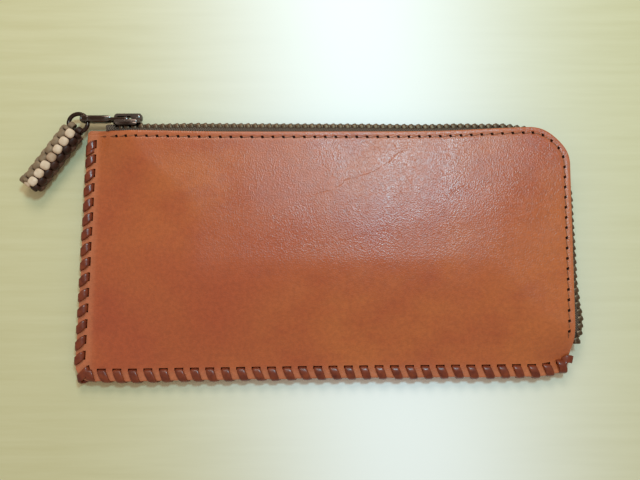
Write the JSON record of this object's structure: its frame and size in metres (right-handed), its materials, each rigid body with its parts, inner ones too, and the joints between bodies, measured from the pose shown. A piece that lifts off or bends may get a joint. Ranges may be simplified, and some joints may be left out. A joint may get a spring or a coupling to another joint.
{
  "type": "long wallet",
  "caption": "Slim long leather wallet with a zip along the top and down one side, whip-laced on the other two edges, and a braided leather charm on the zip pull",
  "frame": {"origin": "The middle of the back panel's flat face, on the surface that the wallet lies on.", "axes": "+X runs along the zipped top edge, from its closed end to the rounded corner. +Y points to the zipped top edge. +Z points out of the front panel."},
  "size_m": [0.2162, 0.107, 0.0114],
  "materials": {
    "panel_leather": "smooth russet vegetable-tanned leather, waxed",
    "lace_leather": "dark red-brown flat lace, glossy",
    "lining_leather": "thin natural lining leather, matt",
    "zip_tape": "dark brown woven herringbone tape",
    "tooth_metal": "antique dark brown metal",
    "waxed_thread": "waxed brown thread",
    "black_nickel": "polished black nickel",
    "braid_leather": "matt leather lace in beige, grey-brown and dark brown"
  },
  "bodies": {
    "wallet": {"back_panel": "panel_leather", "front_panel": "panel_leather", "edge_lace": "lace_leather", "back_teeth": "tooth_metal", "back_tape": "zip_tape", "top_stop_back": "tooth_metal", "top_stop_front": "tooth_metal", "bottom_stop": "tooth_metal", "pocket_backing": "lining_leather", "card_pocket_1": "lining_leather", "card_pocket_2": "lining_leather", "card_pocket_3": "lining_leather", "coin_gusset": "lining_leather", "coin_pocket": "lining_leather"},
    "front_corner": {"front_panel_corner": "panel_leather", "front_tape": "zip_tape", "front_teeth": "tooth_metal", "front_stitching": "waxed_thread"},
    "slider": {"slider_body": "black_nickel", "slider_bridge": "black_nickel"},
    "pull": {"pull_tab": "black_nickel"},
    "ring": {"jump_ring": "black_nickel"},
    "charm": {"braided_charm": "braid_leather"}
  },
  "joints": [
    {"name": "slider_travel", "type": "slide", "parent": "wallet", "child": "slider", "axis": [1, 0, 0], "range_m": [0, 0.15], "deforming": ["front_teeth", "back_teeth", "braided_charm"]},
    {"name": "corner_open", "type": "hinge", "parent": "wallet", "child": "front_corner", "pos_m": [0.005, 0.007, 0.0114], "axis": [0.9064, -0.4223, 0], "range_deg": [0, 28], "deforming": ["front_tape", "front_teeth"]},
    {"name": "pull_flip", "type": "hinge", "parent": "slider", "child": "pull", "pos_m": [-0.0775, 0.0536, 0.0052], "axis": [0, 0, -1], "range_deg": [0, 150]},
    {"name": "ring_swing", "type": "hinge", "parent": "pull", "child": "ring", "pos_m": [-0.0966, 0.0521, 0.0052], "axis": [0, 0, -1], "range_deg": [0, 96]},
    {"name": "charm_lift", "type": "hinge", "parent": "ring", "child": "charm", "pos_m": [-0.09893, 0.04922, 0.0052], "axis": [-0.7771, 0.6293, 0], "range_deg": [0, 90]}
  ],
  "couplings": [
    {"joint": "corner_open", "follows": "slider_travel", "rad_per_m": 3.2574},
    {"joint": "ring_swing", "follows": "slider_travel", "rad_per_m": 11.17}
  ]
}
